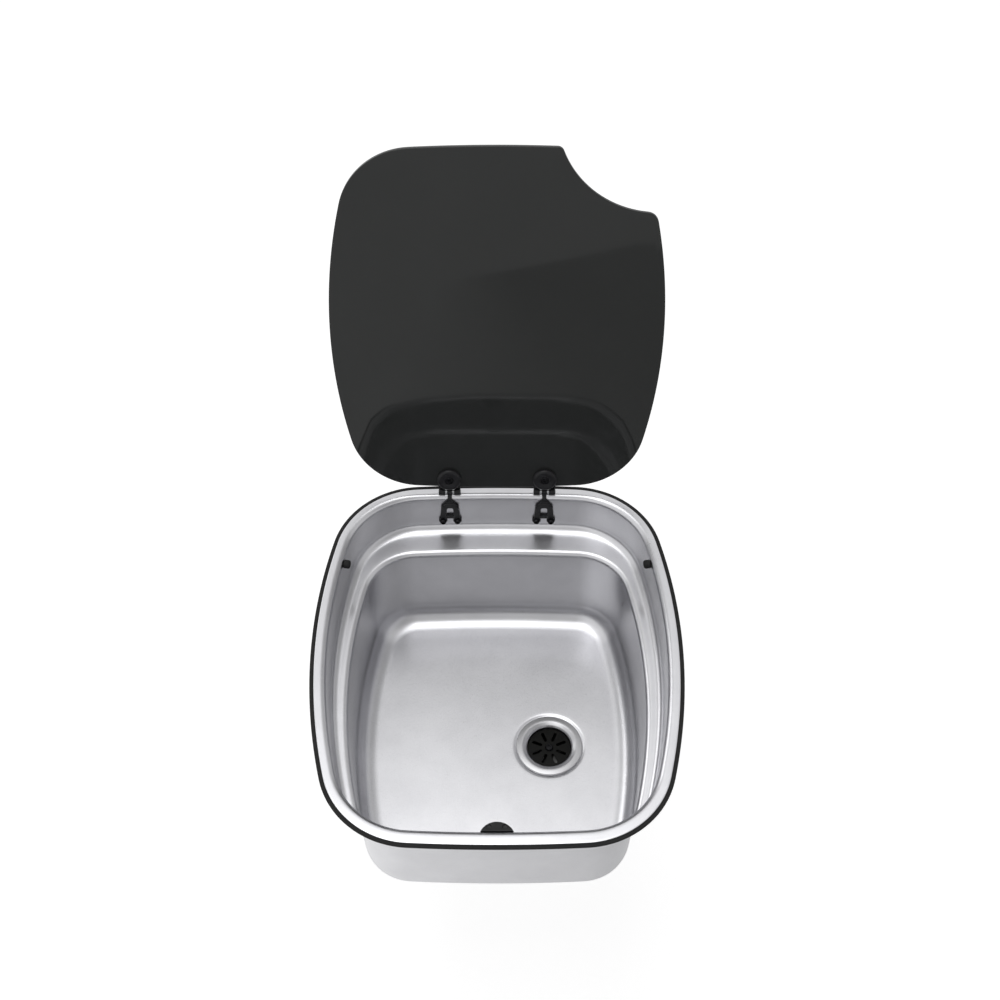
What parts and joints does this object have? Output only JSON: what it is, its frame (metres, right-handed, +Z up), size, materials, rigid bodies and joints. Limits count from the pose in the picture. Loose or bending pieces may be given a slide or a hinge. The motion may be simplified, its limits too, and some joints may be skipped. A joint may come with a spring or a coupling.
{
  "type": "inset sink with hinged glass lid",
  "caption": "Pressed stainless inset sink for a camper, with a recessed rim, an offset waste and a dark glass lid on two rear hinges that closes into the recess.",
  "frame": {"origin": "centre of the worktop cut-out, at the level of the worktop's top face", "axes": "+Z up out of the worktop, +Y towards the hinges at the back, +X to the user's right as they stand at the front"},
  "size_m": [0.37, 0.536, 0.5953],
  "materials": {
    "steel": "bright drawn stainless steel with a fine satin brush",
    "drain_steel": "polished stainless steel",
    "glass": "dark grey tempered glass with a polished face",
    "plastic": "black moulded plastic, satin",
    "rubber": "black rubber, matt",
    "black_steel": "blackened steel screws",
    "zinc_steel": "zinc-plated steel"
  },
  "bodies": {
    "root": {"basin": "steel", "rim_gasket": "rubber", "left_hinge_base": "plastic", "left_hinge_pin": "zinc_steel", "left_hinge_screw_1": "black_steel", "left_hinge_screw_2": "black_steel", "left_hinge_nut_1": "zinc_steel", "left_hinge_nut_2": "zinc_steel", "left_lid_buffer": "rubber", "right_hinge_base": "plastic", "right_hinge_pin": "zinc_steel", "right_hinge_screw_1": "black_steel", "right_hinge_screw_2": "black_steel", "right_hinge_nut_1": "zinc_steel", "right_hinge_nut_2": "zinc_steel", "right_lid_buffer": "rubber", "front_lid_rest": "plastic", "front_rest_screw_1": "zinc_steel", "front_rest_screw_2": "zinc_steel", "drain_flange": "drain_steel", "drain_floor_seal": "rubber", "drain_body_seal": "rubber", "drain_strainer": "plastic", "drain_screw": "black_steel", "waste_body": "plastic"},
    "lid": {"glass_lid": "glass", "left_hinge_leaf": "plastic", "left_hinge_front_pad": "rubber", "left_hinge_rear_pad": "rubber", "left_hinge_clamp_disc": "plastic", "left_hinge_clamp_screw": "black_steel", "right_hinge_leaf": "plastic", "right_hinge_front_pad": "rubber", "right_hinge_rear_pad": "rubber", "right_hinge_clamp_disc": "plastic", "right_hinge_clamp_screw": "black_steel"}
  },
  "joints": [
    {"name": "lid_hinge", "type": "hinge", "parent": "root", "child": "lid", "pos_m": [0, 0.1982, 0.0064], "axis": [1, 0, 0], "range_deg": [0, 109.4]}
  ]
}
